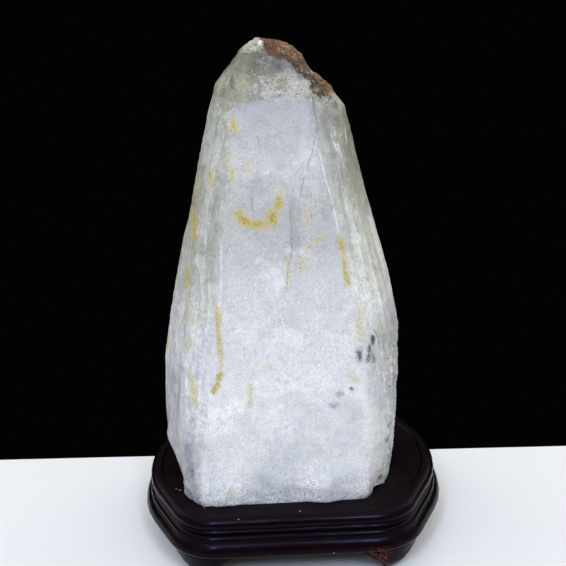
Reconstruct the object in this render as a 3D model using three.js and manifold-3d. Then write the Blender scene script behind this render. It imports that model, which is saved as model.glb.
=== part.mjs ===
// A large milky quartz crystal standing in a low eight-sided hardwood stand.
// Millimetres, +Z up. The origin is the centre of the stand, on the surface that its four feet stand on.
// The front of the stand faces -Y.

import * as THREE from "three";
import { mergeVertices } from "three/addons/utils/BufferGeometryUtils.js";
import Module from "manifold-3d";

const wasm = await Module();
wasm.setup();

// ---- driving dimensions ----

const standWidth = 160; // across the bulge of the lower board
const standDepth = 128;
const frontSide = 114; // the front and the back, before the corners are rounded
const endSide = 34; // the left and right ends, before the corners are rounded
const frontRadius = 28;
const endRadius = 60;
const cornerStep = 9; // degrees of turn in one facet of a rounded corner

const boardGap = 0.3; // between pieces that are glued face to face
const lowerBoardBottom = 15.5;
const feetHeight = lowerBoardBottom - boardGap;
const lowerBoardTop = 27.3;
const upperBoardBottom = lowerBoardTop + boardGap;
const topPlane = 35.2; // the field that the crystal stands in, inside the raised rim
const recessDepth = 3;
const recessPlay = 0.8; // room round the crystal in its recess
const restGap = 0.3; // between the crystal and the floor of its recess
const crystalBottom = topPlane - recessDepth + restGap;

// ---- helpers ----

// A repeatable value from -1 to 1 for a pair of whole numbers.
const scatter = (i, j) => {
  const s = Math.sin(i * 127.1 + j * 311.7) * 43758.5453;
  return 2 * (s - Math.floor(s)) - 1;
};

const mix = (a, b, t) => a + (b - a) * t;

// A row of [height, x, y] read at one height, straight between its entries.
function pointAt(row, z) {
  const i = Math.max(1, row.findIndex(([height]) => height >= z));
  const [a, b] = [row[i - 1], row[i]];
  const t = (z - a[0]) / (b[0] - a[0]);
  return new THREE.Vector2(mix(a[1], b[1], t), mix(a[2], b[2], t));
}

// Skins a stack of rings, bottom first, each ring anticlockwise seen from above, and closes both ends.
function skin(rings) {
  const around = rings[0].length;
  const points = rings.flat();
  const index = [];
  for (let level = 0; level < rings.length - 1; level++)
    for (let k = 0; k < around; k++) {
      const [a, b] = [level * around + k, level * around + ((k + 1) % around)];
      index.push(a, b, b + around, a, b + around, a + around);
    }
  [rings[0], rings.at(-1)].forEach((ring, end) => {
    const first = end ? (rings.length - 1) * around : 0;
    const centre = ring.reduce((sum, p) => sum.add(p), new THREE.Vector3()).divideScalar(around);
    points.push(centre);
    for (let k = 0; k < around; k++) {
      const [a, b] = [first + k, first + ((k + 1) % around)];
      index.push(...(end ? [a, b, points.length - 1] : [b, a, points.length - 1]));
    }
  });
  return new THREE.BufferGeometry().setFromPoints(points).setIndex(index);
}

// three.js geometry to a manifold-3d solid, and back.
function solid(geometry) {
  const bare = geometry.clone();
  for (const name of Object.keys(bare.attributes)) if (name !== "position") bare.deleteAttribute(name);
  const merged = mergeVertices(bare, 1e-4);
  return new wasm.Manifold(
    new wasm.Mesh({
      numProp: 3,
      vertProperties: new Float32Array(merged.attributes.position.array),
      triVerts: new Uint32Array(merged.index.array),
    }),
  );
}

function geometryOf(made) {
  const { vertProperties, triVerts } = made.getMesh();
  const geometry = new THREE.BufferGeometry();
  geometry.setAttribute("position", new THREE.BufferAttribute(new Float32Array(vertProperties), 3));
  geometry.setIndex(new THREE.BufferAttribute(new Uint32Array(triVerts), 1));
  geometry.computeVertexNormals();
  return geometry;
}

// A unit direction from its bearing (0 along +X, 90 along +Y) and its angle from straight up, in degrees.
function direction(bearing, tilt) {
  const [b, t] = [bearing, tilt].map(THREE.MathUtils.degToRad);
  return new THREE.Vector3(Math.sin(t) * Math.cos(b), Math.sin(t) * Math.sin(b), Math.cos(t));
}

// ---- the crystal ----

const shaftTop = 275; // the shaft runs past the point, and the point's faces cut it back

// The long edges of the shaft, anticlockwise from the front left: [height, x, y]. side says what lies between
// an edge and the next one: how many strips the face is folded into, and how deep its lengthwise flutes are.
const shaftEdges = {
  frontLeft: {
    side: { strips: 6, flute: 0.2 },
    row: [[30, -47, -44], [66, -45, -43.5], [98, -39, -42], [138, -32.5, -38], [168, -30.5, -34],
      [201, -26, -28.5], [238, -20, -22], [shaftTop, -14, -15]],
  },
  frontRight: {
    side: { strips: 6, flute: 0.9 },
    row: [[30, 37, -43.5], [98, 40, -41], [121, 38.5, -38.5], [148, 31, -35.5], [175, 25.5, -31.5],
      [199, 21.5, -28], [224, 17, -24.5], [241, 14, -21], [shaftTop, 9, -14]],
  },
  rightRidge: {
    side: { strips: 5, flute: 0.8 },
    row: [[30, 48, -27], [66, 51.5, -27.5], [98, 52, -26], [121, 50, -24], [148, 43, -22.5],
      [175, 37, -19.5], [199, 32.5, -17], [224, 28.5, -13.5], [shaftTop, 22, -8]],
  },
  right: {
    side: { strips: 4, flute: 0.6 },
    row: [[30, 52, -11], [42, 55, -7], [64, 56.5, -2], [92, 58.4, 0], [113, 58.2, 0], [140, 54, 0],
      [166, 47, 0], [191, 40, 0], [216, 35, 0], [230, 31.5, 0], [shaftTop, 19, 0]],
  },
  rightBack: {
    side: { strips: 5, flute: 0.6 },
    row: [[30, 48, 20], [66, 53, 24], [98, 53.5, 25], [130, 48.5, 24], [166, 40, 21], [200, 33, 18],
      [230, 27, 15], [shaftTop, 15, 10]],
  },
  backRight: {
    side: { strips: 7, flute: 0.4 },
    row: [[30, 32, 41], [66, 36, 44], [98, 35, 43], [138, 28, 39], [175, 22, 33], [210, 17, 27],
      [238, 13, 22], [shaftTop, 7, 14]],
  },
  backLeft: {
    side: { strips: 5, flute: 0.7 },
    row: [[30, -35, 40], [66, -40, 43], [98, -41, 42], [138, -36, 37], [175, -30, 31], [210, -25, 25],
      [238, -20, 20], [shaftTop, -12, 12]],
  },
  leftBack: {
    side: { strips: 4, flute: 0.6 },
    row: [[30, -52, 20], [55, -60, 23], [98, -58, 24], [138, -51, 22], [175, -43, 18], [210, -35, 14],
      [238, -28, 11], [shaftTop, -16, 7]],
  },
  left: {
    side: { strips: 4, flute: 0.7 },
    row: [[30, -57, -8], [40, -61.5, -6], [48, -63.4, -4], [53, -66.4, -3], [72, -66.6, -1], [98, -65, 0],
      [131, -59, 0], [158, -52.7, 0], [183, -46, 0], [207, -40.5, 0], [230, -34.7, 0], [shaftTop, -20, 0]],
  },
  leftRidge: {
    side: { strips: 6, flute: 0.9 },
    row: [[30, -53, -33], [66, -58, -29], [98, -54.5, -27], [138, -47.5, -23.5], [168, -43, -20.5],
      [201, -36, -16.5], [232, -29.5, -12.5], [shaftTop, -19, -8]],
  },
};

// The flat faces that cut the shaft: the point's own faces, and the broken corners low on the left and right.
const cutFaces = {
  pointFront: { through: [-9, 0, 262], bearing: 270, tilt: 47.5 },
  pointLeft: { through: [-16, 0, 258.3], bearing: 202, tilt: 52 },
  pointRight: { through: [3, 0, 259.7], bearing: 343, tilt: 46 },
  pointBackRight: { through: [2, 5, 260.5], bearing: 48, tilt: 51 },
  pointBack: { through: [-5, 4, 260.8], bearing: 97, tilt: 49 },
  pointBackLeft: { through: [-11, 3, 260], bearing: 148, tilt: 55 },
  wornTip: { through: [-3, 0, 260.3], bearing: 0, tilt: 13 },
  lowLeftCorner: { through: [-51.3, -36.5, 45], bearing: 214, tilt: 95 },
  lowRightCorner: { through: [47.5, -29.5, 40], bearing: 322, tilt: 99 },
};

// Growth ledges: the face steps in by depth at height, then runs back out over reach. from and to say how
// much of the way round the shaft the ledge covers, counted in edges from the front left.
const ledges = [
  { height: 118, from: 1.2, to: 2.9, depth: 0.7, reach: 26 },
  { height: 182, from: 1.1, to: 2.6, depth: 0.5, reach: 20 },
  { height: 86, from: 3.2, to: 4.9, depth: 1.6, reach: 30 },
  { height: 154, from: 4.2, to: 5.8, depth: 1.5, reach: 34 },
  { height: 205, from: 5.2, to: 7, depth: 1.2, reach: 22 },
  { height: 104, from: 5.5, to: 6.8, depth: 1.8, reach: 36 },
  { height: 170, from: 7.1, to: 8.7, depth: 0.6, reach: 24 },
  { height: 128, from: 8.3, to: 9.6, depth: 0.5, reach: 22 },
];
const ledgeRise = 1.6;

const notchLevels = [48, 53]; // where the shaft steps in low on the left
const baseLevels = [crystalBottom, crystalBottom + 2];
const levelStep = 6.5;

const fluteLength = 24; // a flute keeps its depth for about this long
const edgeWander = 0.35;
const calmBelow = 50; // the flutes fade out towards the base, and under the point
const calmAbove = 205;

// How far the surface stands out at a place round the shaft, counted in edges, and a height.
function relief(place, strip, strips, flute, z) {
  const along = z / fluteLength;
  const row = Math.floor(along);
  const wander = mix(scatter(place + strip * 0.37, row), scatter(place + strip * 0.37, row + 1), along - row);
  const fold = strip % 2 ? -0.6 : 0.5;
  const onEdge = strip === 0;
  const fade = THREE.MathUtils.smoothstep(z, crystalBottom, calmBelow);
  const fadeTop = 1 - THREE.MathUtils.smoothstep(z, calmAbove, calmAbove + 40);
  let out = onEdge ? edgeWander * wander : flute * (fold + 0.7 * wander) * fade * fadeTop;
  const here = place + strip / strips;
  for (const { height, from, to, depth, reach } of ledges)
    if (here > from && here < to && z >= height && z < height + reach)
      out -= depth * (1 - (z - height) / reach) * Math.min(1, (z - height) / ledgeRise);
  return out;
}

function shaftRing(z) {
  const corners = Object.values(shaftEdges).map(({ row }) => pointAt(row, z));
  return Object.values(shaftEdges).flatMap(({ side: { strips, flute } }, place) => {
    const [a, b] = [corners[place], corners[(place + 1) % corners.length]];
    const outward = new THREE.Vector2(b.y - a.y, a.x - b.x).normalize();
    return Array.from({ length: strips }, (_, strip) => {
      const p = a.clone().lerp(b, strip / strips);
      p.addScaledVector(outward, relief(place, strip, strips, flute, z));
      return new THREE.Vector3(p.x, p.y, z);
    });
  });
}

function shaftLevels() {
  const levels = [...baseLevels, ...notchLevels, shaftTop];
  for (let z = crystalBottom + levelStep; z < shaftTop; z += levelStep) levels.push(z);
  for (const { height } of ledges) levels.push(height, height + ledgeRise);
  return levels.sort((a, b) => a - b).filter((z, i, all) => i === 0 || z - all[i - 1] > 1);
}

// A box on the outer side of a flat face, to cut with, standing off the face by play.
function beyond({ through, bearing, tilt }, play = 0) {
  const size = 400;
  const normal = direction(bearing, tilt);
  const box = new THREE.BoxGeometry(size, size, size);
  box.applyQuaternion(new THREE.Quaternion().setFromUnitVectors(new THREE.Vector3(0, 0, 1), normal));
  const centre = normal.clone().multiplyScalar(size / 2 + play).add(new THREE.Vector3(...through));
  box.translate(centre.x, centre.y, centre.z);
  return solid(box);
}

// The rough iron-stained crust over the right face of the point, made by cutting that face with a lumpy tool.
const crust = { size: 72, cells: 18, rough: 0.8, swell: 0.9, swellLength: 6, skew: 19, sink: 0.4 };

function crustTool() {
  const { size, cells, rough, swell, swellLength, skew, sink } = crust;
  const box = new THREE.BoxGeometry(size, size, size / 2, cells, cells, 1);
  const lumpy = mergeVertices(box.deleteAttribute("normal").deleteAttribute("uv"), 1e-4);
  const p = lumpy.attributes.position;
  for (let i = 0; i < p.count; i++) {
    const [x, y] = [p.getX(i), p.getY(i)];
    const wave = Math.sin(x / swellLength) * Math.cos(y / swellLength + x / skew);
    const lump = rough * scatter(Math.round(x), Math.round(y)) + swell * wave - sink;
    if (p.getZ(i) < 0) p.setZ(i, p.getZ(i) + lump);
  }
  const { through, bearing, tilt } = cutFaces.pointRight;
  lumpy.translate(0, 0, size / 4).rotateY(THREE.MathUtils.degToRad(tilt));
  return solid(lumpy.rotateZ(THREE.MathUtils.degToRad(bearing)).translate(...through));
}

function crystalSolid() {
  let made = solid(skin(shaftLevels().map(shaftRing)));
  for (const face of Object.values(cutFaces)) made = made.subtract(beyond(face));
  return made.subtract(crustTool());
}

// ---- the stand ----

// The plan before its corners are rounded, anticlockwise from the front right, as [corner, radius].
function planCorners() {
  const [w, d, a, b] = [standWidth / 2, standDepth / 2, frontSide / 2, endSide / 2];
  const right = [[a, -d, frontRadius], [w, -b, endRadius], [w, b, endRadius], [a, d, frontRadius]];
  const left = right.map(([x, y, radius]) => [-x, -y, radius]);
  return [...right, ...left].map(([x, y, radius]) => [new THREE.Vector2(x, y), radius]);
}

// The plan outline of the stand, moved in by inset, as a ring at height z.
function standRing(inset, z) {
  const corners = planCorners();
  return corners.flatMap(([corner, radius], i) => {
    const toLast = corners.at(i - 1)[0].clone().sub(corner).normalize();
    const toNext = corners[(i + 1) % corners.length][0].clone().sub(corner).normalize();
    const half = Math.acos(toLast.dot(toNext)) / 2;
    const centre = toLast.clone().add(toNext).normalize().multiplyScalar(radius / Math.sin(half)).add(corner);
    const start = Math.atan2(toLast.x, -toLast.y); // the way that the side before the corner faces
    const turn = Math.PI - 2 * half;
    const steps = Math.ceil(THREE.MathUtils.radToDeg(turn) / cornerStep);
    return Array.from({ length: steps + 1 }, (_, k) => {
      const angle = start + (turn * k) / steps;
      const reach = radius - inset;
      return new THREE.Vector3(centre.x + reach * Math.cos(angle), centre.y + reach * Math.sin(angle), z);
    });
  });
}

// Each board's moulding from its underside up, as [inset from the widest outline, height].
const lowerProfile = [
  [4.2, lowerBoardBottom], [1.9, 15.7], [0.5, 16.4], [0, 17.6], [0.2, 19.1], [0.8, 20.7], [1.7, 22.1],
  [2.7, 23.1], [3.2, 23.3], [2.9, 23.9], [3.2, 25], [4, 26.1], [5.4, 27], [7, lowerBoardTop],
];
const upperProfile = [
  [6.4, upperBoardBottom], [4.8, 27.9], [4.1, 28.6], [4.1, 29.3], [4.8, 29.8], [4.1, 30.5], [3.5, 31.6],
  [3.5, 32.9], [4.1, 34.3], [5.2, 35.4], [6.8, 36], [9.3, 36], [10.3, topPlane],
];

const board = (profile) => solid(skin(profile.map(([inset, z]) => standRing(inset, z))));

// The hollow that the crystal stands in: its own footprint with some play.
function recessTool() {
  const foot = shaftRing(topPlane);
  const rings = [topPlane - recessDepth, topPlane + 5].map((z) =>
    foot.map((p, i) => {
      const [last, next] = [foot.at(i - 1), foot[(i + 1) % foot.length]];
      const outward = new THREE.Vector2(next.y - last.y, last.x - next.x).normalize();
      return new THREE.Vector3(p.x + outward.x * recessPlay, p.y + outward.y * recessPlay, z);
    }),
  );
  return solid(skin(rings))
    .subtract(beyond(cutFaces.lowLeftCorner, recessPlay))
    .subtract(beyond(cutFaces.lowRightCorner, recessPlay));
}

// A foot is a bracket that follows a rounded front or back corner of the plan and tucks in to a small hoof.
// Each level: how far it reaches from the middle of the corner, along the front and along the slanted side,
// and the insets of its outer and inner faces.
const footLevels = [
  { z: 0, alongFront: 8, alongSide: 1.5, outer: 9, inner: 17.5 },
  { z: 1.6, alongFront: 7.8, alongSide: 1.2, outer: 7.4, inner: 17.5 },
  { z: 3.4, alongFront: 8, alongSide: 2, outer: 5.9, inner: 17 },
  { z: 5.2, alongFront: 9.8, alongSide: 4.5, outer: 4.9, inner: 16.5 },
  { z: 7.4, alongFront: 12.8, alongSide: 9, outer: 4.3, inner: 16 },
  { z: 9.8, alongFront: 16.5, alongSide: 15, outer: 3.8, inner: 15.6 },
  { z: 12.4, alongFront: 20, alongSide: 19.5, outer: 3.2, inner: 15.3 },
  { z: feetHeight, alongFront: 23.5, alongSide: 22, outer: 2.7, inner: 15 },
];
const footStrips = 8;

// A point on the outline of the front right corner, s millimetres along it from the corner's middle.
function cornerPoint(s, inset, z) {
  const [[corner], [nextCorner]] = planCorners();
  const toFront = new THREE.Vector2(-1, 0);
  const toSide = nextCorner.clone().sub(corner).normalize();
  const half = Math.acos(toFront.dot(toSide)) / 2;
  const bisector = toFront.add(toSide).normalize();
  const centre = bisector.clone().multiplyScalar(frontRadius / Math.sin(half)).add(corner);
  const sweep = Math.PI / 2 - half;
  const turn = THREE.MathUtils.clamp(s / frontRadius, -sweep, sweep);
  const straight = s - turn * frontRadius;
  const angle = Math.atan2(-bisector.y, -bisector.x) + turn;
  const outward = new THREE.Vector2(Math.cos(angle), Math.sin(angle));
  centre.addScaledVector(outward, frontRadius - inset);
  return new THREE.Vector3(centre.x - straight * outward.y, centre.y + straight * outward.x, z);
}

// The front right foot, mirrored to its own corner by a sign on each axis.
function footGeometry(signX, signY) {
  const rings = footLevels.map(({ z, alongFront, alongSide, outer, inner }) => {
    const along = (k) => mix(-alongFront, alongSide, k / footStrips);
    const steps = Array.from({ length: footStrips + 1 }, (_, k) => along(k));
    const outside = steps.map((s) => cornerPoint(s, outer, z));
    const inside = steps.toReversed().map((s) => cornerPoint(s, inner, z));
    const ring = [...outside, ...inside].map((p) => p.multiply(new THREE.Vector3(signX, signY, 1)));
    return signX * signY < 0 ? ring.toReversed() : ring;
  });
  return geometryOf(solid(skin(rings)));
}

// ---- materials and the assembly ----

const milkyQuartz = new THREE.MeshStandardMaterial({ color: 0xd5dae2, roughness: 0.35, metalness: 0 });
const darkLacquer = new THREE.MeshStandardMaterial({ color: 0x24110f, roughness: 0.25, metalness: 0 });

const group = new THREE.Group();

function addPiece(name, geometry, material) {
  const mesh = new THREE.Mesh(geometry, material);
  mesh.name = name;
  group.add(mesh);
}

addPiece("quartz_crystal", geometryOf(crystalSolid()), milkyQuartz);
addPiece("stand_upper_board", geometryOf(board(upperProfile).subtract(recessTool())), darkLacquer);
addPiece("stand_lower_board", geometryOf(board(lowerProfile)), darkLacquer);
for (const [side, x] of [["left", -1], ["right", 1]])
  for (const [end, y] of [["front", 1], ["back", -1]])
    addPiece(`stand_foot_${end}_${side}`, footGeometry(x, y), darkLacquer);

export default group;
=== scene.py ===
from collections import Counter
from math import cos, prod, radians, sin
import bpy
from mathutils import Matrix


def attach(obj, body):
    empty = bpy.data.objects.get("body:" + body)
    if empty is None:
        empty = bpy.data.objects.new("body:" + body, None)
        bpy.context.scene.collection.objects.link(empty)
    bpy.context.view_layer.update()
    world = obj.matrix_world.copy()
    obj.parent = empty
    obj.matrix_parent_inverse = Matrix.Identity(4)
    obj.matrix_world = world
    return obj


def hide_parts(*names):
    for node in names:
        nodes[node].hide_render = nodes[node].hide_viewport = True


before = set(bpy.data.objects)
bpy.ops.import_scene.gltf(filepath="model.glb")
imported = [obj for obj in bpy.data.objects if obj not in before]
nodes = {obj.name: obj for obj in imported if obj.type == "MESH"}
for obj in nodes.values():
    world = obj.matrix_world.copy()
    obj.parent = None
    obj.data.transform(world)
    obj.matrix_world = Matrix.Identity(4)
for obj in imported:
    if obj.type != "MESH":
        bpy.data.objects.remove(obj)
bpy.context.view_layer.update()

from types import SimpleNamespace

import bpy
import numpy as np
from mathutils import Matrix, Vector

millimetre = 0.001


def clearSelection():
    if bpy.context.object and bpy.context.object.mode != "OBJECT":
        bpy.ops.object.mode_set(mode="OBJECT")
    bpy.ops.object.select_all(action="DESELECT")


def pick(piece):
    clearSelection()
    piece.select_set(True)
    bpy.context.view_layer.objects.active = piece


def applyAll(piece):
    pick(piece)
    for modifier in list(piece.modifiers):
        bpy.ops.object.modifier_apply(modifier=modifier.name)


def copyOfNode(node, name):
    piece = nodes[node].copy()
    piece.data = nodes[node].data.copy()
    piece.name = piece.data.name = name
    piece.parent = None
    for key in list(piece.keys()):
        del piece[key]
    bpy.context.scene.collection.objects.link(piece)
    pick(piece)
    bpy.ops.object.mode_set(mode="EDIT")
    bpy.ops.mesh.select_all(action="SELECT")
    bpy.ops.mesh.remove_doubles(threshold=0.00001)  # the node's triangles are loose
    bpy.ops.mesh.normals_make_consistent(inside=False)
    bpy.ops.object.mode_set(mode="OBJECT")
    return piece


class Wire:
    # one output of a node, so that maths on it is written as an expression

    def __init__(self, bench, socket):
        self.bench = bench
        self.socket = socket

    def maths(self, operation, *values):
        return self.bench.node("ShaderNodeMath", {"operation": operation}, dict(enumerate(values)))

    def __add__(self, other):
        return self.maths("ADD", self, other)

    def __sub__(self, other):
        return self.maths("SUBTRACT", self, other)

    def __mul__(self, other):
        return self.maths("MULTIPLY", self, other)

    def __truediv__(self, other):
        return self.maths("DIVIDE", self, other)

    def __rsub__(self, other):
        return self.maths("SUBTRACT", other, self)

    def __rtruediv__(self, other):
        return self.maths("DIVIDE", other, self)

    def __abs__(self):
        return self.maths("ABSOLUTE", self)

    __radd__ = __add__
    __rmul__ = __mul__

    def least(self, other):
        return self.maths("MINIMUM", self, other)

    def most(self, other):
        return self.maths("MAXIMUM", self, other)

    def between(self, low, high):
        # 0 at low, 1 at high, eased
        sockets = {"Value": self, "From Min": low, "From Max": high}
        return self.bench.node("ShaderNodeMapRange", {"interpolation_type": "SMOOTHSTEP"}, sockets)


class Bench:
    # a node tree being wired up

    def __init__(self, tree):
        self.tree = tree

    def node(self, kind, settings=None, sockets=None, out=0):
        made = self.tree.nodes.new(kind)
        for key, value in (settings or {}).items():
            if key == "stops":
                ramp = made.color_ramp.elements
                while len(ramp) < len(value):
                    ramp.new(0.5)
                for stop, (place, colour) in zip(ramp, value):
                    stop.position = place
                    stop.color = (*colour, 1)
            else:
                setattr(made, key, value)
        for key, value in (sockets or {}).items():
            if isinstance(value, Wire):
                self.tree.links.new(value.socket, made.inputs[key])
            else:
                made.inputs[key].default_value = value
        return None if out is None else Wire(self, made.outputs[out])

    def split(self, vector):
        return [self.node("ShaderNodeSeparateXYZ", None, {0: vector}, out) for out in range(3)]

    def join(self, x, y, z):
        return self.node("ShaderNodeCombineXYZ", None, {0: x, 1: y, 2: z})

    def scaled(self, vector, factor):
        return self.node("ShaderNodeVectorMath", {"operation": "SCALE"}, {0: vector, "Scale": factor})

    def vectors(self, operation, first, second, out=0):
        # output 1 is the one that holds a number, such as a distance
        return self.node("ShaderNodeVectorMath", {"operation": operation}, {0: first, 1: second}, out)

    def noise(self, where, size, detail=2.0, roughness=0.5, twist=0.0):
        # size is the width of a feature in the units of where
        sockets = {"Vector": where, "Scale": 1 / size, "Detail": detail}
        sockets.update({"Roughness": roughness, "Distortion": twist})
        return self.node("ShaderNodeTexNoise", None, sockets)

    def cells(self, where, size):
        # distance to the nearest of many scattered points, in cell widths
        return self.node("ShaderNodeTexVoronoi", None, {"Vector": where, "Scale": 1 / size})

    def ramp(self, factor, stops):
        return self.node("ShaderNodeValToRGB", {"stops": stops}, {"Fac": factor})

    def mix(self, factor, first, second, blend="MIX"):
        # input 0 is the factor, 6 and 7 are the colours
        first, second = [side if isinstance(side, Wire) else (*side, 1) for side in (first, second)]
        settings = {"data_type": "RGBA", "blend_type": blend}
        return self.node("ShaderNodeMix", settings, {0: factor, 6: first, 7: second}, 2)

    def mixPlaces(self, factor, first, second):
        # input 0 is the factor, 4 and 5 are the places
        return self.node("ShaderNodeMix", {"data_type": "VECTOR"}, {0: factor, 4: first, 5: second}, 1)


def zone(on, limits):
    # 1 inside a zone, eased to 0 outside it. The limits on an axis are where the zone starts and is full,
    # and, if it ends again, where it begins to fade and ends.
    eased = []
    for axis, (start, full, *fade) in limits.items():
        place = getattr(on, axis)
        eased.append(place.between(start, full))
        if fade:
            eased.append(place.between(*reversed(fade)))
    return prod(eased[1:], start=eased[0])


# The camera, the floor and the lamps

camera = {
    "place": (-0.01003, -0.51634, 0.34156),
    "pan": 0.96,  # degrees to the right of straight ahead
    "pitch": 21.56,  # degrees down
    "roll": 2.05,
    "lens": 69.02,
}

studio = {
    "floorSize": (2.4, 1.7),
    "floorBack": 0.0644,  # where the floor ends behind the stand
    "floorTurn": -2.2,
    "floorColour": (0.722, 0.727, 0.703, 1),
    "floorRoughness": 0.6,
    "surround": 0.001,
    "aim": (0, 0, 0.12),
    # bearing in degrees from +X, height in degrees above the floor, distance and size in metres, watts, tint
    "lamps": {
        "leftWindow": (-108, 43, 1.2, (0.13, 0.5), 6.1, (0.54, 0.64, 1.0)),
        "rightWindow": (-74, 42, 1.2, (0.2, 0.3), 5.0, (0.74, 0.80, 1.0)),
        "leftSoft": (-150, 45, 1.8, (3.0, 3.0), 16.4, (1.0, 0.985, 0.93)),
        "rightSoft": (-25, 45, 1.8, (3.0, 3.0), 15.8, (1.0, 0.985, 0.93)),
        "overhead": (-90, 80, 1.6, (2.4, 2.0), 10.5, (1.0, 0.985, 0.95)),
        "behind": (90, 66, 1.8, (1.5, 1.5), 5.5, (1.0, 1.0, 1.0)),
        "leftEdge": (150, 32, 1.3, (0.9, 0.9), 4.2, (1.0, 1.0, 1.0)),
        "rightEdge": (30, 32, 1.3, (0.9, 0.9), 4.2, (1.0, 1.0, 1.0)),
    },
}


def setCamera():
    lens = bpy.data.cameras.new("camera")
    lens.lens = camera["lens"]
    eye = bpy.data.objects.new("camera", lens)
    turn = Matrix.Rotation(radians(-camera["pan"]), 4, "Z")
    lean = Matrix.Rotation(radians(90 - camera["pitch"]), 4, "X")
    roll = Matrix.Rotation(radians(-camera["roll"]), 4, "Z")
    eye.matrix_world = Matrix.Translation(camera["place"]) @ turn @ lean @ roll
    bpy.context.scene.collection.objects.link(eye)
    bpy.context.scene.camera = eye
    print("camera set")


def layFloor():
    clearSelection()
    width, depth = studio["floorSize"]
    turn = radians(studio["floorTurn"])
    forward = Matrix.Rotation(turn, 3, "Z") @ Vector((0, -depth / 2, 0))
    middle = Vector((0, studio["floorBack"], 0)) + forward
    bpy.ops.mesh.primitive_plane_add(size=1, location=middle, rotation=(0, 0, turn))
    floor = bpy.context.object
    floor.name = "floor"
    floor.scale = (width, depth, 1)
    white = bpy.data.materials.new("paleFloor")
    white.use_nodes = True
    surface = white.node_tree.nodes["Principled BSDF"].inputs
    surface["Base Color"].default_value = studio["floorColour"]
    surface["Roughness"].default_value = studio["floorRoughness"]
    floor.data.materials.append(white)
    print("floor laid")


def hangLamps():
    aim = Vector(studio["aim"])
    for name, (bearing, height, away, size, watts, tint) in studio["lamps"].items():
        lamp = bpy.data.lights.new(name, "AREA")
        lamp.shape = "RECTANGLE"
        lamp.size, lamp.size_y = size
        lamp.energy = watts
        lamp.color = tint
        holder = bpy.data.objects.new(name, lamp)
        level = away * cos(radians(height))
        above = away * sin(radians(height))
        turned = radians(bearing)
        holder.location = aim + Vector((level * cos(turned), level * sin(turned), above))
        holder.rotation_euler = (aim - holder.location).to_track_quat("-Z", "Y").to_euler()
        bpy.context.scene.collection.objects.link(holder)
    world = bpy.data.worlds.new("surround")
    world.use_nodes = True
    world.node_tree.nodes["Background"].inputs["Color"].default_value = (1, 1, 1, 1)
    world.node_tree.nodes["Background"].inputs["Strength"].default_value = studio["surround"]
    bpy.context.scene.world = world
    bpy.context.scene.view_settings.view_transform = "Standard"
    print("lamps hung")


# The crystal's shape

crystalRelief = {
    "voxel": 0.00098,  # metres, and all below in mm
    "apex": 388,  # where the shaft's long edges would meet
    "apexReach": 290,
    "grooveWidth": 2.6,
    "grooveDraw": 0.045,  # across the grooves to along them
    "leftGrooves": 0.1,
    "rightGrooves": 0.17,
    "frontGrooves": 0.04,
    # the width of a form, and how far it goes in or out
    "swell": (17, 0.5),
    "chips": (4.5, 1.0),
    "baseRough": (3.2, 1.3),
    "rubble": (5.5, 1.6),
    "rubbleGrit": (2.4, 1.1),
    "crustLumps": (2.1, 1.1),
    # rounds of blurring: to find the sharp edges, to soften all, and for the worn edge below the point
    "edgeRounds": 7,
    "softenRounds": 34,
    "meltRounds": 143,
    "soften": 0.75,  # share of what the blurring moves
    # a place on the point's right face and which way it faces, and the height above it at which the crust
    # begins: rise with x, height at x = 0, and most height
    "pointFace": ((3, 0, 259.7), (0.688, -0.210, 0.695)),
    "crustEdge": (0.27, -3.8, -1.2),
    "slump": 2.1,  # how far the right end of the crust has worn back
    # where the front swells out at the foot: x, half a width and depth
    "footSwells": [(-52, 10, 3.6), (-36, 18, 2.6), (15, 15, 3.4), (31, 12, 1.8)],
    "sideSwell": 1.1,
    "tipSwell": 1.5,
    # chips out of the foot: x, y, z, reach and depth
    "bites": [(44, -33, 35.5, 6.5, 3.4), (-62.5, -14, 61, 7, 2.8)],
}

# Where each form lies in mm. z is height, u and v are x and y drawn out along the shaft, and facing is how
# far the surface faces the back.
reliefZones = {
    "front": {"u": (-43, -38, 36, 44), "v": (-24, -30)},
    "grooved": {"z": (36, 60, 236, 262)},
    "softened": {"z": (36, 44, 250, 258)},
    "wornEdge": {"z": (222, 233, 241, 251), "v": (-14, -22)},
    "roughBase": {"z": (58, 36)},
    "rubble": {"x": (44, 52), "z": (40, 50, 108, 122), "y": (10, -8)},
    "frontFoot": {"facing": (-0.1, -0.5), "z": (33.8, 35.2, 40, 62)},
    "sideSwell": {"x": (-50, -56), "z": (42, 50, 55, 60)},
    "tipSwell": {"x": (-9, -16), "z": (236, 243, 255, 261)},
    "aboveShoulder": {"z": (229, 234)},
    "slump": {"x": (10, 19, 29, 35), "z": (228, 233), "v": (-24, -12)},
}


def alongShaft(bench, on, draw):
    # coordinates that keep their value along the shaft's long edges, drawn out along them
    spread = crystalRelief["apexReach"] / (crystalRelief["apex"] - on.z)
    return bench.join(on.x * spread, on.y * spread, on.z * draw)


def placesOn(bench, where, draw):
    # a place on the crystal in mm, as it is and drawn out along the shaft
    x, y, z = bench.split(where)
    on = SimpleNamespace(where=where, x=x, y=y, z=z)
    on.grain = alongShaft(bench, on, draw)
    on.u, on.v, _ = bench.split(on.grain)
    return on


def aboveCrustEdge(on):
    # mm above the plane of the point's right face, less the height at which the crust begins
    place, facing = crystalRelief["pointFace"]
    rise, start, most = crystalRelief["crustEdge"]
    above = (on.x - place[0]) * facing[0] + (on.y - place[1]) * facing[1] + (on.z - place[2]) * facing[2]
    return above - (on.x * rise + start).least(most)


def blurred(bench, value, rounds):
    # each vertex takes the mean of its neighbours, round after round
    settings = {"data_type": "FLOAT_VECTOR"}
    return bench.node("GeometryNodeBlurAttribute", settings, {"Value": value, "Iterations": rounds})


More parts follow.
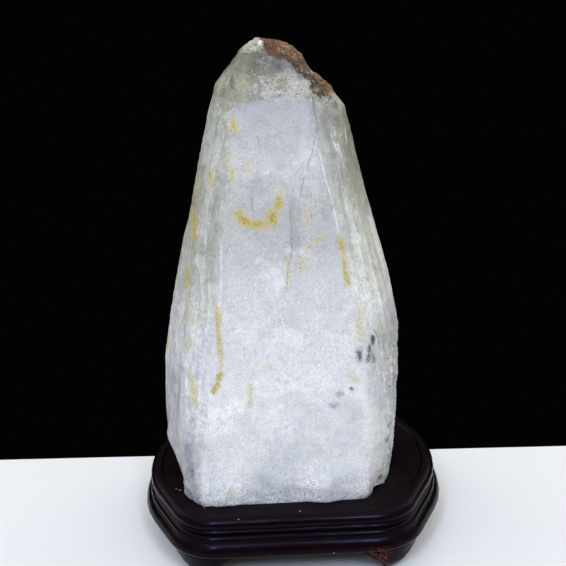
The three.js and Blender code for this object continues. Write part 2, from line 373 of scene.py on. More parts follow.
def ripple(bench, where, form, detail, roughness, middle=0.5):
    # noise of the form's width, which goes its height above and below zero
    width, height = form
    return (bench.noise(where, width, detail, roughness) - middle) * (2 * height)


def shaftHeight(bench, on, convex):
    # flutes along the shaft, swells of its faces and chips out of its edges
    shape = crystalRelief
    flankDepth = on.u.between(-10, 10) * (shape["rightGrooves"] - shape["leftGrooves"]) + shape["leftGrooves"]
    grooveDepth = flankDepth + zone(on, reliefZones["front"]) * (shape["frontGrooves"] - flankDepth)
    grooves = ripple(bench, on.grain, (shape["grooveWidth"], 1), 4, 0.7) * grooveDepth
    grooves = grooves * zone(on, reliefZones["grooved"])
    swell = ripple(bench, on.where, shape["swell"], 3, 0.5)
    width, depth = shape["chips"]
    chipped = bench.noise(on.where, width, 3, 0.6).between(0.5, 0.68) * convex.between(0.06, 0.35)
    return grooves + swell - chipped * depth


def footHeight(bench, on):
    # the broken foot, the rubble low on the right, and what swells out or is bitten off
    shape = crystalRelief
    height = ripple(bench, on.where, shape["baseRough"], 5, 0.7, 0.60) * zone(on, reliefZones["roughBase"])
    rubble = ripple(bench, on.where, shape["rubble"], 4, 0.6, 0.55)
    rubble = rubble + ripple(bench, on.where, shape["rubbleGrit"], 3, 0.6)
    height = height + rubble * zone(on, reliefZones["rubble"])
    for *place, reach, depth in shape["bites"]:
        away = bench.vectors("DISTANCE", on.where, place, 1)
        height = height - away.between(reach, reach * 0.2) * depth
    frontFoot = zone(on, reliefZones["frontFoot"])
    for place, halfWidth, depth in shape["footSwells"]:
        height = height + abs(on.x - place).between(halfWidth, 0) * frontFoot * depth
    height = height + zone(on, reliefZones["sideSwell"]) * shape["sideSwell"]
    return height + zone(on, reliefZones["tipSwell"]) * shape["tipSwell"]


def reliefTree():
    shape = crystalRelief
    tree = bpy.data.node_groups.new("crystalRelief", "GeometryNodeTree")
    tree.interface.new_socket("Geometry", in_out="INPUT", socket_type="NodeSocketGeometry")
    tree.interface.new_socket("Geometry", in_out="OUTPUT", socket_type="NodeSocketGeometry")
    bench = Bench(tree)
    mesh = bench.node("NodeGroupInput")
    position = bench.node("GeometryNodeInputPosition")
    normal = bench.node("GeometryNodeInputNormal")
    on = placesOn(bench, bench.scaled(position, 1000), shape["grooveDraw"])
    _, on.facing, _ = bench.split(normal)

    softened = blurred(bench, position, shape["softenRounds"])
    nearby = blurred(bench, position, shape["edgeRounds"])
    melted = blurred(bench, position, shape["meltRounds"])
    offCentre = bench.vectors("SUBTRACT", position, nearby)
    convex = bench.vectors("DOT_PRODUCT", offCentre, normal, 1) * 1000

    crust = aboveCrustEdge(on).between(-1.0, 1.2) * zone(on, reliefZones["aboveShoulder"])
    lumps = ripple(bench, on.where, shape["crustLumps"], 5, 0.75, 0.45) * crust
    slump = zone(on, reliefZones["slump"]) * shape["slump"]
    height = shaftHeight(bench, on, convex) + footHeight(bench, on) + lumps - slump
    offset = bench.scaled(normal, height * millimetre)

    soften = zone(on, reliefZones["softened"]) * shape["soften"] * (1 - crust)
    eased = bench.mixPlaces(soften, position, softened)
    eased = bench.mixPlaces(zone(on, reliefZones["wornEdge"]) * (1 - crust), eased, melted)
    sockets = {"Geometry": mesh, "Position": eased, "Offset": offset}
    moved = bench.node("GeometryNodeSetPosition", None, sockets)
    bench.node("NodeGroupOutput", None, {0: moved}, None)
    return tree


# Stains, inclusions and pale clouds on the front, with one painted glint at the apex among the clouds: each
# is a row of (x, z) in mm, half a width in mm and a depth of colour.
crystalMarks = {
    "ochre": [
        ([(-22, 228), (-22, 224)], 2.1, 0.8),
        ([(-25, 213), (-25, 210)], 1.8, 0.5),
        ([(-24, 206), (-24, 201)], 2.0, 0.65),
        ([(-17, 208), (-17, 206)], 3.0, 0.35),
        ([(-34, 202), (-34, 197)], 2.5, 0.6),
        ([(-24, 190), (-25, 185)], 1.8, 0.2),
        ([(-42, 197), (-43, 190), (-42, 187)], 2.0, 0.4),
        ([(-44, 180), (-44, 170)], 2.5, 0.85),
        ([(-21, 185), (-20, 183), (-20, 182)], 3.0, 0.9),
        ([(-20, 182), (-14, 180), (-9, 180)], 2.4, 1.0),
        ([(-9, 180), (-6, 181), (-6, 184)], 2.8, 1.0),
        ([(-8, 184), (-6, 186)], 2.1, 0.8),
        ([(-3, 188), (-2, 191)], 2.6, 0.95),
        ([(-2, 193), (-1, 195)], 2.4, 0.55),
        ([(10, 184), (10, 180)], 2.0, 0.3),
        ([(19, 174), (12, 170), (7, 164), (7, 156)], 2.1, 0.38),
        ([(26, 171), (27, 166)], 2.1, 0.95),
        ([(27, 166), (28, 158)], 1.8, 0.62),
        ([(28, 156), (29, 150)], 2.1, 0.8),
        ([(-48, 152), (-50, 144)], 2.0, 0.7),
        ([(-50, 144), (-50, 131)], 1.3, 0.45),
        ([(-34, 140), (-34, 130), (-34, 122), (-33, 116)], 2.1, 0.62),
        ([(-33, 116), (-34, 108)], 1.5, 0.4),
        ([(-34, 107), (-36, 102), (-38, 98)], 2.1, 0.8),
        ([(-49, 102), (-48, 90)], 2.5, 0.5),
        ([(-20, 100), (-20, 94), (-21, 90)], 2.3, 0.38),
        ([(-48, 120), (-51, 114)], 2.0, 0.35),
        ([(-62, 110), (-62, 105)], 2.0, 0.3),
        ([(-50, 130), (-45, 130)], 3.5, 0.2),
        ([(35, 135), (34, 129), (35, 122)], 2.5, 0.35),
        ([(46, 122)], 2.0, 0.55),
        ([(29, 104), (32, 101)], 2.5, 0.35),
        ([(-12, 110), (-8, 110)], 2.5, 0.2),
        ([(0, 164), (1, 155), (-1, 147)], 1.3, 0.4),
        ([(42, 60)], 1.6, 0.45),
        ([(12, 63)], 1.4, 0.35),
        ([(-33, 44), (-32, 42)], 3.0, 0.25),
        ([(44, 44), (42, 41)], 2.5, 0.25),
    ],
    "shadow": [
        ([(0, 250)], 3.2, 1.0),
        ([(-8, 254)], 1.5, 0.9),
        ([(-9, 251)], 1.1, 0.65),
        ([(0, 256), (2, 254)], 2.0, 0.85),
        ([(6, 250), (10, 245)], 1.3, 0.7),
        ([(-22, 246), (-22, 242)], 1.5, 0.85),
        ([(-12, 241)], 2.5, 0.3),
        ([(-3, 238), (1, 238)], 1.0, 0.45),
        ([(3, 191), (4, 180), (5, 168)], 3.0, 0.2),
        ([(26, 228), (27, 224)], 3.0, 0.25),
        ([(34, 116), (34, 111)], 2.8, 0.35),
        ([(34, 115), (34, 112)], 1.9, 0.88),
        ([(41, 122), (39, 110)], 2.4, 0.3),
        ([(41, 121), (41, 118)], 1.6, 0.9),
        ([(39, 117), (39, 114)], 1.5, 0.9),
        ([(39, 114), (38, 110)], 1.7, 0.88),
        ([(41, 112), (41, 109)], 1.5, 0.7),
        ([(39, 105), (39, 94)], 3.5, 0.18),
        ([(24, 94)], 2.5, 0.6),
        ([(21, 88)], 2.5, 0.6),
        ([(27, 88), (30, 80)], 6.0, 0.15),
        ([(30, 96)], 1.5, 1.0),
        ([(53, 90)], 1.3, 1.0),
        ([(50, 90)], 1.1, 1.0),
        ([(50, 68)], 1.5, 1.0),
        ([(49, 62), (49, 60)], 1.5, 1.0),
        ([(-58, 96), (-60, 84)], 5.0, 0.2),
        ([(-54, 64), (-50, 40)], 4.5, 0.45),
        ([(-18, 50), (-14, 45)], 5.0, 0.2),
        ([(-6, 42), (8, 39)], 3.5, 0.15),
        ([(15, 40), (23, 46), (30, 46)], 6.0, 0.22),
        ([(4, 88), (6, 84)], 6.0, 0.1),
    ],
    "cloud": [
        ([(1, 167), (8, 166)], 3, 0.3),
        ([(-8, 160), (-4, 152)], 6, 0.35),
        ([(-4, 128), (3, 122)], 5, 0.25),
        ([(-20, 128), (-14, 118)], 6, 0.2),
        ([(-7, 122), (-7, 112)], 4, 0.25),
        ([(12, 215), (6, 206)], 6, 0.15),
        # a painted glint at the apex, laid as a pale cloud
        ([(-8, 260)], 1.4, 1.0),
    ],
}

# Fine lines on the front, each a row of (x, z) in mm: dark cracks, and near-white lines, which are healed
# cracks and painted highlights along edges.
crystalLines = {
    "crack": [
        [(-0.5, 147), (0.5, 158), (3, 167), (3, 179), (2, 191)],
        [(-10.5, 215), (-11, 221)],
        [(-15, 187), (-15, 196)],
        [(7.5, 192), (11, 205), (14, 213), (16.5, 224), (15, 236)],
        [(12.5, 182), (13, 192)],
        [(-16.5, 116), (-16.5, 120)],
        [(-3, 124), (-3.5, 131)],
    ],
    "gleam": [
        [(-33, 140), (-32, 146), (-31, 160), (-30.5, 168)],
        [(25.5, 173), (22.5, 190), (19.5, 201), (17.5, 211)],
        [(45.5, 110.5), (43.5, 114), (42.5, 120), (40, 125)],
        [(40.5, 116), (40.5, 110)],
        [(-42.5, 172), (-40.5, 181)],
        [(-38, 169), (-38, 173)],
        [(57.5, 111), (57, 116), (56, 122)],
        [(26, 211), (23, 219)],
        [(28, 208), (24.5, 222)],
        [(31, 213), (30.5, 219)],
        [(-0.5, 146), (-1, 150), (-1.5, 153)],
        [(-11, 117), (-4, 129), (3, 123)],
        [(-16, 131), (-3, 128)],
        [(-7, 116), (-7, 122)],
        [(3, 111), (3, 117)],
        [(-37, 89), (-34, 86)],
        [(-31.5, 86), (-31, 88)],
    ],
}
lineReach = 4  # mm each side in which a line is measured


def addField(piece, name, values):
    field = piece.data.attributes.new(name, "FLOAT", "POINT")
    field.data.foreach_set("value", values.astype(np.float32))


def gapToRow(points, row):
    # signed distance to a row of points: positive on its left, going from the first point to the last
    nearest = np.full(len(points), 1e3)
    for start, end in zip(row, row[1:] or row):
        start, step = np.array(start, float), np.subtract(end, start, dtype=float)
        share = np.clip((points - start) @ step / max(step @ step, 1e-6), 0, 1)
        away = points - start - share[:, None] * step
        gap = np.linalg.norm(away, axis=1)
        gap = np.where(step[0] * away[:, 1] < step[1] * away[:, 0], -gap, gap)
        nearest = np.where(np.abs(gap) < np.abs(nearest), gap, nearest)
    return nearest


def markCrystal(piece):
    count = len(piece.data.vertices)
    points = np.zeros(count * 3)
    normals = np.zeros(count * 3)
    piece.data.vertices.foreach_get("co", points)
    piece.data.vertices.foreach_get("normal", normals)
    facing = normals.reshape(-1, 3)[:, 1] < 0.1
    flat = points.reshape(-1, 3)[:, [0, 2]] / millimetre
    for name, strokes in crystalMarks.items():
        # reach is 1 along the middle of a stroke, 0 at its side and -1 as far again outside it
        reach = np.full(count, -1.0)
        lead = np.full(count, -1.0)
        depth = np.zeros(count)
        for row, halfWidth, strength in strokes:
            here = 1 - np.abs(gapToRow(flat, row)) / halfWidth
            weight = np.where(here > 0, here * strength, here)
            leading = facing & (weight > lead)
            reach = np.where(leading, here, reach)
            lead = np.where(leading, weight, lead)
            depth = np.where(leading, strength, depth)
        addField(piece, name + "Reach", reach)
        addField(piece, name + "Depth", depth)
    for name, rows in crystalLines.items():
        gap = np.full(count, float(lineReach))
        for row in rows:
            here = gapToRow(flat, row)
            gap = np.where(facing & (np.abs(here) < np.abs(gap)), here, gap)
        addField(piece, name + "Gap", gap)


# The crystal's finish

quartzFinish = {
    "rampTop": 240,  # mm: the height at which the ramps by height end
    "streakDraw": 0.05,  # across the streaks to along them
    "shortStreakDraw": 0.09,
    # how light the milky front is by height in mm, with how blue it is, or below zero how yellow
    "milk": [
        (36, 0.725, -0.015), (48, 0.725, -0.02), (60, 0.685, -0.03), (95, 0.77, -0.04),
        (112, 0.695, -0.037), (133, 0.65, -0.04), (152, 0.62, -0.04), (168, 0.505, -0.042),
        (188, 0.455, -0.055), (207, 0.575, -0.045), (219, 0.505, -0.038), (230, 0.42, -0.04),
        (236, 0.37, -0.045),
    ],
    "pointClear": (0.26, 0.25, 0.165),
    "pointFrost": (0.46, 0.445, 0.37),
    "pointSide": (0.385, 0.37, 0.235),
    # the pale crown at the tip: frost and a painted highlight
    "crown": (0.62, 0.57, 0.43),
    "flank": (0.455, 0.45, 0.375),
    "flankStreak": (0.56, 0.56, 0.49),
    "lowFlank": (0.48, 0.49, 0.495),
    # how light each flank is, by height in mm
    "leftTone": [
        (50, 0.68), (85, 1.0), (115, 1.15), (140, 1.28), (165, 1.07), (190, 1.15), (215, 1.14), (240, 1.05),
    ],
    "rightTone": [
        (60, 1.05), (85, 0.84), (118, 0.77), (137, 1.56), (163, 1.52), (183, 1.22), (205, 0.86), (225, 0.73),
    ],
    "coolTint": (0.98, 1.0, 1.015),
    "warmTint": (1.0, 1.0, 0.975),
    "rust": (0.36, 0.31, 0.18),
    "ochre": (0.44, 0.32, 0.014),
    "ochreThin": (0.66, 0.59, 0.29),
    "ochreGrain": (0.36, 0.20, 0.01),
    "shadow": (0.015, 0.025, 0.058),
    # near-white: pale clouds and healed cracks, and painted highlights: glints, sparkles and gleaming edges
    "gleam": (0.92, 0.92, 0.90),
    "speck": (0.075, 0.055, 0.04),
    "crust": [
        (0.34, (0.012, 0.006, 0.004)), (0.42, (0.05, 0.023, 0.009)), (0.49, (0.125, 0.06, 0.017)),
        (0.56, (0.21, 0.12, 0.037)), (0.67, (0.42, 0.30, 0.14)),
    ],
    "rustSpot": (0.11, 0.022, 0.007),
    "glass": (0.86, 0.9, 0.84),
    "glassRoughness": 0.25,
    "lightBending": 1.54,
    "scatterShare": 0.6,
    "scatterColour": (1.0, 0.95, 0.9),
    "scatterLength": 0.004,
    "clearShare": 0.5,
    "bump": 0.45,
    "bumpDepth": 0.0005,
}

# Where each colour lies, written as the zones of the relief are.
quartzZones = {
    "rightSide": {"x": (-6, 6)},
    "rightRust": {"u": (40, 53), "z": (172, 204)},
    "leftRust": {"u": (-52, -64), "z": (150, 186, 196, 215)},
    "pointSide": {"u": (-22, -36)},
    "underTip": {"z": (242, 252)},
    "crown": {"x": (-5, -9), "v": (10, 0)},
    "rubble": {"x": (43, 50), "z": (34, 44, 108, 122)},
    "livelyFoot": {"z": (56, 40)},
    "grimyFoot": {"z": (60, 40)},
    "foot": {"z": (43, 36)},
    "back": {"v": (-22, -12)},
    # the rims, where more painted sparkles lie
    "leftRim": {"u": (-48, -54)},
    "rightRim": {"u": (47, 53)},
    "lowerCrust": {"x": (12, 20)},
    "crustTip": {"x": (-10, -5, -3, 4)},
    "redCrust": {"x": (9, 1)},
    "wornEdge": {"z": (222, 232, 242, 252)},
}


def newMaterial(name):
    material = bpy.data.materials.new(name)
    material.use_nodes = True
    material.node_tree.nodes.clear()
    return material, Bench(material.node_tree)


def field(bench, name):
    # what markCrystal measured at each vertex
    return bench.node("ShaderNodeAttribute", {"attribute_name": name}, None, 2)


def strokes(bench, name):
    return field(bench, name + "Reach"), field(bench, name + "Depth")


def fineLine(bench, name, wander, halfWidth):
    gap = field(bench, name + "Gap") + wander
    return abs(gap).between(halfWidth, halfWidth * 0.3)


def quartzPatterns(bench):
    # the places on the crystal in mm, the noises that its colours share, and where its flanks and point lie
    where = bench.scaled(bench.node("ShaderNodeTexCoord", None, None, 3), 1000)
    on = placesOn(bench, where, quartzFinish["streakDraw"])
    shortGrain = alongShaft(bench, on, quartzFinish["shortStreakDraw"])
    on.cloud = bench.noise(where, 24, 3, 0.55, 0.6) - 0.5
    on.veil = bench.noise(where, 8, 4, 0.6, 1.5) - 0.5
    on.mottle = bench.noise(where, 3.2, 4, 0.65, 0.8) - 0.5
    on.frost = bench.noise(where, 1.1, 3, 0.75) - 0.5
    on.crumb = bench.noise(where, 0.7, 2, 0.6) - 0.5
    on.patch = bench.noise(where, 5, 2)  # lets fine marks come and go
    on.streak = bench.noise(shortGrain, 1.6, 2, 0.6)
    on.fineStreak = bench.noise(on.grain, 0.8, 2, 0.6)
    on.broadStreak = bench.noise(on.grain, 6, 3, 0.55)
    leftFlank = (on.u + on.veil * 12).between(-36, -48)
    rightEdge = on.u + (on.z - 165).most(0) * 0.2
    rightFlank = (rightEdge + on.veil * 16).between(33, 47)
    on.side = leftFlank.most(rightFlank).most(zone(on, quartzZones["back"]))
    streaks = on.streak * 0.25 + on.fineStreak * 0.15 + on.broadStreak * 0.6
    on.streaky = (streaks + on.veil * 0.5).between(0.40, 0.62)
    on.high = (on.z + on.cloud * 60).between(112, 160)
    point = (on.z + on.mottle * 7 + on.veil * 6).between(233.5, 237.5)
    on.point = point + on.side * (on.z.between(216, 250) - point)
    return on


def toneByHeight(bench, on, tones):
    # a ramp's colours end at 1, so the tones are halved in it and doubled after it
    top = quartzFinish["rampTop"]
    stops = [(height / top, (tone / 2, tone / 2, tone / 2)) for height, tone in tones]
    return bench.ramp(on.z / top, stops) * 2


def bodyColour(bench, on):
    # the milky front, lighter or darker by height, and the clearer, greener flanks with pale streaks along
    # the shaft
    finish = quartzFinish
    top = finish["rampTop"]
    stops = []
    for height, shade, blue in finish["milk"]:
        stops.append((height / top, (shade * (1 - blue * 0.6), shade, shade * (1 + blue * 1.3))))
    milk = bench.ramp((on.z + on.cloud * 26 + on.veil * 14) / top, stops)
    flank = bench.mix(on.streaky, finish["flank"], finish["flankStreak"])
    lowFlank = bench.mix(on.streaky * 0.35 + on.veil * 1.5 + 0.25, finish["lowFlank"], milk)
    flank = bench.mix(on.high, lowFlank, flank)
    onRight = zone(on, quartzZones["rightSide"])
    leftTone = toneByHeight(bench, on, finish["leftTone"]) * (1 - onRight)
    rightTone = toneByHeight(bench, on, finish["rightTone"]) * onRight
    flank = bench.scaled(flank, rightTone + leftTone)
    colour = bench.mix(on.side * 0.85, milk, flank)
    rust = zone(on, quartzZones["rightRust"]) * (on.broadStreak.between(0.38, 0.54) * 0.75 + 0.25)
    rust = rust.most(zone(on, quartzZones["leftRust"]) * 0.6)
    return bench.mix(rust * 0.7, colour, finish["rust"])


def pointColour(bench, on):
    # clear and yellowish with frosted patches, more of them low on the right, and pale at the very tip, where
    # frost carries a painted highlight
    finish = quartzFinish
    frosted = on.patch + on.mottle * 0.8 + on.frost * 0.5 + (on.x - on.z + 250) * 0.013
    tip = bench.mix(frosted.between(0.36, 0.66), finish["pointClear"], finish["pointFrost"])
    tip = bench.mix(zone(on, quartzZones["pointSide"]), tip, finish["pointSide"])
    tip = bench.scaled(tip, 1 - zone(on, quartzZones["underTip"]) * 0.5)
    # the pale crown: frost at the very tip and a painted highlight
    crown = (on.z + on.mottle * 4).between(255.5, 258) * zone(on, quartzZones["crown"])
    return bench.mix(crown * 0.8, tip, finish["crown"])


def clouded(bench, on, colour):
    # cloudiness, healed fractures and frost, livelier on the point, at the foot and on the rubble
    lively = on.point * 1.5 + on.side * 0.4 + zone(on, quartzZones["livelyFoot"]) * 1.8
    lively = lively + zone(on, quartzZones["rubble"]) * 2 + 1.35
    veins = abs(on.veil).between(0.014, 0.0) * on.cloud.between(-0.04, 0.06)
    frosty = (on.cloud + on.patch).between(0.36, 0.66) * 0.35 + 0.27
    seams = on.fineStreak.between(0.37, 0.31) * on.side * on.patch.between(0.56, 0.44)
    tone = on.cloud * 0.36 + on.veil * 0.42 + veins * 0.10 - seams * 0.16 + 1
    tone = tone + (on.mottle * 0.2 + (on.frost + on.crumb) * frosty) * lively
    tone = tone + (on.streak - 0.5) * on.side * 0.25 + (on.fineStreak - 0.5) * (on.side * 0.25 + 0.14)
    colour = bench.scaled(colour, tone)
    hue = (on.cloud * 0.8 + on.veil * 0.5 + on.mottle * 0.2 + 0.5).between(0.34, 0.66)
    tint = bench.mix(hue, quartzFinish["coolTint"], quartzFinish["warmTint"])
    return bench.mix(1.0, colour, tint, "MULTIPLY")


def stainLayers(bench, on):
    # how much of each colour lies on the crystal, in the order in which they are laid
    mottle, frost = on.mottle, on.frost
    spots = bench.cells(on.where, 7).between(0.13, 0.05) * on.patch.between(0.5, 0.6) * (1 - on.point)
    speckle = bench.cells(on.where, 1.5).between(0.36, 0.16) * on.patch.between(0.47, 0.58)
    speckle = speckle * (on.point * 0.75).most(zone(on, quartzZones["foot"]) * 0.5)

    crumbly = mottle * 2.6 + frost * 3 + on.crumb * 2
    reach, depth = strokes(bench, "ochre")
    on.halo = (reach + crumbly * 0.7).between(-0.25, 0.75) * (depth * 0.75 + 0.1)
    solid = depth * 0.9 - 0.06 + frost * 1.6 + mottle
    ochre = (reach + crumbly * 0.65 + depth * 0.9).between(0.7, 2.0) * solid
    grains = bench.cells(on.where, 1.3).between(0.42, 0.2) * (reach + crumbly * 0.6).between(-0.1, 0.6)
    grains = grains * depth * (1.1 - depth) * 1.9

    reach, depth = strokes(bench, "shadow")
    on.shadow = (reach + mottle * 3 + frost * 2.5).between(-0.2, 1.1) * depth
    # pale clouds, and the painted glint at the apex
    reach, depth = strokes(bench, "cloud")
    pale = (reach + on.veil * 3 + mottle * 2).between(-0.2, 0.9) * depth
    return [
        (spots * 0.6, "ochreThin"), (speckle, "speck"), (on.halo, "ochreThin"), (ochre, "ochre"),
        (grains, "ochreGrain"), (on.shadow, "shadow"), (pale, "gleam"),
    ]


def fineLayers(bench, on):
    # cracks, grime at the foot, and what is painted near-white: healed cracks, and painted highlights on
    # gleaming edges, flutes and tiny facets
    patch = on.patch
    crack = fineLine(bench, "crack", on.veil * 1.8 + on.frost * 0.9, 0.42) * patch.between(0.36, 0.54)
    grime = bench.cells(on.where, 1.9).between(0.2, 0.12) * on.cloud.between(0.1, 0)
    grime = grime * zone(on, quartzZones["grimyFoot"])
    gleam = fineLine(bench, "gleam", on.mottle * 1.2, 0.5) * patch.between(0.40, 0.52) * 0.52
    # painted glints: thin bright lines along the flutes of the flanks
    paintedGlint = on.fineStreak.between(0.62, 0.69) * on.side * patch.between(0.47, 0.6) * 0.5
    # painted sparkles: tiny bright dots on the flanks, the foot and the stains, more of them towards the left
    # and right rims
    sparkling = on.side.most(zone(on, quartzZones["foot"])).most(on.halo)
    paintedSparkle = bench.cells(on.where, 2.6).between(0.24, 0.10) * sparkling * on.frost.between(-0.04, 0.12)
    rim = zone(on, quartzZones["rightRim"]).most(zone(on, quartzZones["leftRim"]))
    paintedSparkle = paintedSparkle * (patch + rim * 0.06 - on.v.between(-8, 4) * 0.04).between(0.54, 0.60)
    on.bright = gleam.most(paintedGlint).most(paintedSparkle)
    return [(crack * 0.36, "shadow"), (grime * 0.5, "shadow"), (on.bright, "gleam")]


def crusted(bench, on, colour):
    # the iron crust beside the tip, with a dark lower edge
    over = aboveCrustEdge(on) + on.mottle * 6 + on.frost * 3
    over = over + zone(on, quartzZones["lowerCrust"]) * (on.v.between(-24, -12) * 2 + 0.8)
    over = over + zone(on, quartzZones["crustTip"]) * 1.3
    on.crust = over.between(-0.3, 0.3) * (on.z + on.veil * 8).between(233, 235.5)
    patchy = bench.noise(on.where, 1.15, 4, 0.8, 0.5) + on.veil * 0.5 - over.between(1.8, 0) * 0.17
    rind = bench.ramp(patchy, quartzFinish["crust"])
    redness = (on.patch + on.x.between(4, -4) * 0.12 + on.mottle * 0.5).between(0.48, 0.62)
    redness = redness * zone(on, quartzZones["redCrust"]) * patchy.between(0.64, 0.46)
    rind = bench.mix(redness, rind, quartzFinish["rustSpot"])
    return bench.mix(on.crust, colour, rind)


def milkyQuartz():
    finish = quartzFinish
    material, bench = newMaterial("milkyQuartz")
    on = quartzPatterns(bench)
    colour = bench.mix(on.point, bodyColour(bench, on), pointColour(bench, on))
    colour = clouded(bench, on, colour)
    for amount, name in stainLayers(bench, on) + fineLayers(bench, on):
        colour = bench.mix(amount, colour, finish[name])
    colour = crusted(bench, on, colour)

    dry = on.crust.most(on.halo * 0.8)
    roughness = dry * 0.4 + 0.36 + on.veil * 0.3 + on.frost * 0.3 + zone(on, quartzZones["wornEdge"]) * 0.15
    grit = on.frost * (dry * 3 + 0.9) + on.streak * on.side * 0.25 + on.mottle * 0.5
    bumpSockets = {"Strength": finish["bump"], "Distance": finish["bumpDepth"], "Height": grit}
    bump = bench.node("ShaderNodeBump", None, bumpSockets)
    clear = (on.side * on.high * 0.4 + on.point * 0.45 + 0.04) * (1 - on.streaky * 0.4)
    clear = clear * (1 - dry) * (1 - on.shadow) * (1 - on.bright)

    milkSockets = {
        "Base Color": colour,
        "Roughness": roughness,
        "IOR": finish["lightBending"],
        "Subsurface Weight": finish["scatterShare"],
        "Subsurface Radius": finish["scatterColour"],
        "Subsurface Scale": finish["scatterLength"],
        "Normal": bump,
    }
    clearSockets = {
        "Base Color": (*finish["glass"], 1),
        "Roughness": finish["glassRoughness"],
        "IOR": finish["lightBending"],
        "Transmission Weight": 1.0,
        "Normal": bump,
    }
    milky = bench.node("ShaderNodeBsdfPrincipled", None, milkSockets)
    glassy = bench.node("ShaderNodeBsdfPrincipled", None, clearSockets)
    skinSockets = {0: clear * finish["clearShare"], 1: milky, 2: glassy}
    skin = bench.node("ShaderNodeMixShader", None, skinSockets)
    bench.node("ShaderNodeOutputMaterial", None, {"Surface": skin}, None)
    return material


def makeCrystal():
    crystal = copyOfNode("quartz_crystal", "quartzCrystal")
    grid = crystal.modifiers.new("evenGrid", "REMESH")
    grid.mode = "VOXEL"
    grid.voxel_size = crystalRelief["voxel"]
    applyAll(crystal)
    relief = crystal.modifiers.new("relief", "NODES")
    relief.node_group = reliefTree()
    applyAll(crystal)
    markCrystal(crystal)
    bpy.ops.object.shade_smooth()
    crystal.data.materials.clear()
    crystal.data.materials.append(milkyQuartz())
    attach(crystal, "root")
    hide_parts("quartz_crystal")
    print("crystal:", len(crystal.data.polygons), "faces")


# The stand

standShape = {
    "edgeRound": 0.00022,
    "sharpEdge": 14,  # degrees between two faces, past which their edge is rounded
    "flatEdge": 0.3,  # degrees, below which two faces become one
    "smoothEdge": 35,  # degrees, past which an edge shows
    "lineInset": 0.0044,  # from the rim's inner edge to the line cut round the top
    "lineWidth": 0.0003,  # half of it
    "level": 0.00002,  # how far apart in height two faces may be and still count as level
}

woodFinish = {
    "grain": [
        (0.30, (0.0012, 0.0007, 0.0009)), (0.50, (0.0036, 0.0014, 0.0019)),
        (0.64, (0.0078, 0.0024, 0.0028)), (0.80, (0.0190, 0.0055, 0.0045)),
    ],
    "worn": (0.055, 0.012, 0.005),
    "chafed": (0.30, 0.075, 0.02),
    "chafedCorner": {"x": (33, 37, 43, 49), "y": (-50, -56), "z": (20, 16)},  # mm, as the zones above
    "dust": (0.30, 0.29, 0.28),
    "specks": [(2.2, -52.8, 35.2), (18.1, -63.8, 17), (-59.4, -28.4, 35.2)],  # mm: two specks of dust, and the last a painted glint
    "roughness": 0.19,
    "topDulled": 0.34,  # how much rougher the level top is
    "lightBending": 1.17,
    "glossTint": (0.62, 0.6, 1.0),
    "bump": 0.12,
    "bumpDepth": 0.0003,
}


def darkLacquer():
    finish = woodFinish
    material, bench = newMaterial("darkLacqueredWood")
    where = bench.scaled(bench.node("ShaderNodeTexCoord", None, None, 3), 1000)
    x, y, z = bench.split(where)
    bend = (bench.noise(where, 60, 2) - 0.5) * 7
    fibre = bench.noise(bench.join(x * 0.035, y + bend, z * 0.8), 0.9, 5, 0.7)
    figure = bench.noise(bench.join(x * 0.05, y + bend, z), 5.5, 3, 0.6, 0.6)
    smear = bench.noise(where, 14, 3, 0.6) - 0.5
    fleck = bench.noise(where, 1.4, 3, 0.7) - 0.5
    colour = bench.ramp(fibre * 0.45 + figure * 0.55, finish["grain"])
    # a reddish-brown patch with orange flecks low on the front-right foot
    corner = zone(SimpleNamespace(x=x, y=y, z=z), finish["chafedCorner"])
    colour = bench.mix(corner * (fleck + 0.5).between(0.40, 0.54), colour, finish["worn"])
    colour = bench.mix(corner * (fleck + 0.5).between(0.58, 0.66), colour, finish["chafed"])
    dust = bench.cells(where, 11).between(0.036, 0.02)
    # the listed specks: two of dust and one painted glint
    for speck in finish["specks"]:
        dust = dust.most(bench.vectors("DISTANCE", where, speck, 1).between(0.55, 0.3))
    colour = bench.mix(dust, colour, finish["dust"])
    _, _, upward = bench.split(bench.node("ShaderNodeNewGeometry", None, None, 1))
    roughness = smear * 0.14 + fleck * 0.05 + dust * 0.5 + finish["roughness"]
    roughness = roughness + upward.between(0.9, 0.99) * finish["topDulled"]
    pores = fleck * 0.3 - fibre.between(0.44, 0.36)
    bumpSockets = {"Strength": finish["bump"], "Distance": finish["bumpDepth"], "Height": pores}
    sockets = {
        "Base Color": colour,
        "Roughness": roughness,
        "IOR": finish["lightBending"],
        "Specular Tint": (*finish["glossTint"], 1),
        "Normal": bench.node("ShaderNodeBump", None, bumpSockets),
    }
    lacquer = bench.node("ShaderNodeBsdfPrincipled", None, sockets)
    bench.node("ShaderNodeOutputMaterial", None, {"Surface": lacquer}, None)
    return material


def smoothCopy(node, name):
    piece = copyOfNode(node, name)
    bpy.ops.object.mode_set(mode="EDIT")
    bpy.ops.mesh.select_all(action="SELECT")
    bpy.ops.mesh.dissolve_limited(angle_limit=radians(standShape["flatEdge"]))
    bpy.ops.object.mode_set(mode="OBJECT")
    rounding = piece.modifiers.new("edgeRound", "BEVEL")
    rounding.width = standShape["edgeRound"]
    rounding.segments = 2
    rounding.limit_method = "ANGLE"
    rounding.angle_limit = radians(standShape["sharpEdge"])
    applyAll(piece)
    return piece


def selectIn(piece, kind, elements, chosen):
    # goes to edit mode with only the chosen vertices, edges or faces selected
    pick(piece)
    bpy.ops.object.mode_set(mode="EDIT")
    bpy.ops.mesh.select_mode(type=kind)
    bpy.ops.mesh.select_all(action="DESELECT")
    bpy.ops.object.mode_set(mode="OBJECT")
    for element, wanted in zip(elements(), chosen):
        element.select = wanted
    bpy.ops.object.mode_set(mode="EDIT")


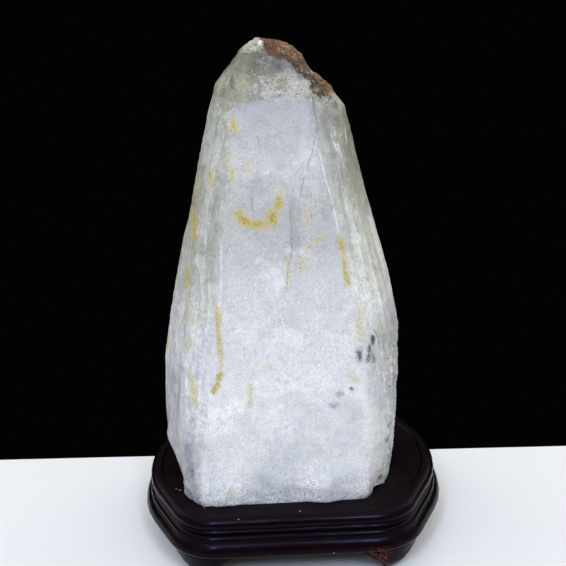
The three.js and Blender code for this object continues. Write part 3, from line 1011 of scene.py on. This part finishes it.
def rimOutline(board):
    # the outer outline of the board's flat top, as a wire of edges
    pick(board)
    bpy.ops.object.duplicate()
    outline = bpy.context.object
    faces = outline.data.polygons
    upward = [face.normal.z > 0.999 for face in faces]
    _, top = max((face.area, face.center.z) for face, up in zip(faces, upward) if up)
    others = [not up or abs(face.center.z - top) > standShape["level"] for face, up in zip(faces, upward)]
    selectIn(outline, "FACE", lambda: outline.data.polygons, others)
    bpy.ops.mesh.delete(type="FACE")
    bpy.ops.object.mode_set(mode="OBJECT")
    uses = Counter(key for face in outline.data.polygons for key in face.edge_keys)
    inner = [uses[edge.key] > 1 for edge in outline.data.edges]
    selectIn(outline, "EDGE", lambda: outline.data.edges, inner)
    bpy.ops.mesh.delete(type="EDGE")
    bpy.ops.mesh.separate(type="LOOSE")
    bpy.ops.object.mode_set(mode="OBJECT")
    rings = sorted(bpy.context.selected_objects, key=lambda ring: ring.dimensions.x)
    outline = rings.pop()
    for ring in rings:
        bpy.data.objects.remove(ring)
    return outline


def topLineCutter(board):
    # a thin ring that follows the raised rim, to cut the line round the top with
    cutter = rimOutline(board)
    pick(cutter)
    bpy.ops.object.mode_set(mode="EDIT")
    bpy.ops.mesh.select_all(action="SELECT")
    bpy.ops.mesh.edge_face_add()
    bpy.ops.mesh.select_mode(type="FACE")
    bpy.ops.mesh.inset(thickness=standShape["lineInset"])
    bpy.ops.mesh.select_all(action="INVERT")
    bpy.ops.mesh.delete(type="FACE")
    bpy.ops.object.mode_set(mode="OBJECT")
    bpy.ops.object.convert(target="CURVE")
    cutter.data.bevel_depth = standShape["lineWidth"]
    cutter.data.bevel_resolution = 1
    bpy.ops.object.convert(target="MESH")
    print("line cutter:", len(cutter.data.polygons), "faces")
    return cutter


def cutTopLine(board):
    cutter = topLineCutter(board)
    groove = board.modifiers.new("topLine", "BOOLEAN")
    groove.operation = "DIFFERENCE"
    groove.solver = "EXACT"
    groove.object = cutter
    applyAll(board)
    bpy.data.objects.remove(cutter)


def makeStand():
    lacquer = darkLacquer()
    for node in nodes:
        if node.startswith("stand"):
            words = node.split("_")
            piece = smoothCopy(node, words[0] + "".join(word.title() for word in words[1:]))
            if node == "stand_upper_board":
                cutTopLine(piece)
            piece.data.materials.clear()
            piece.data.materials.append(lacquer)
            bpy.ops.object.shade_smooth_by_angle(angle=radians(standShape["smoothEdge"]))
            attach(piece, "root")
            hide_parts(node)
    print("stand made")


setCamera()
layFloor()
hangLamps()
makeCrystal()
makeStand()
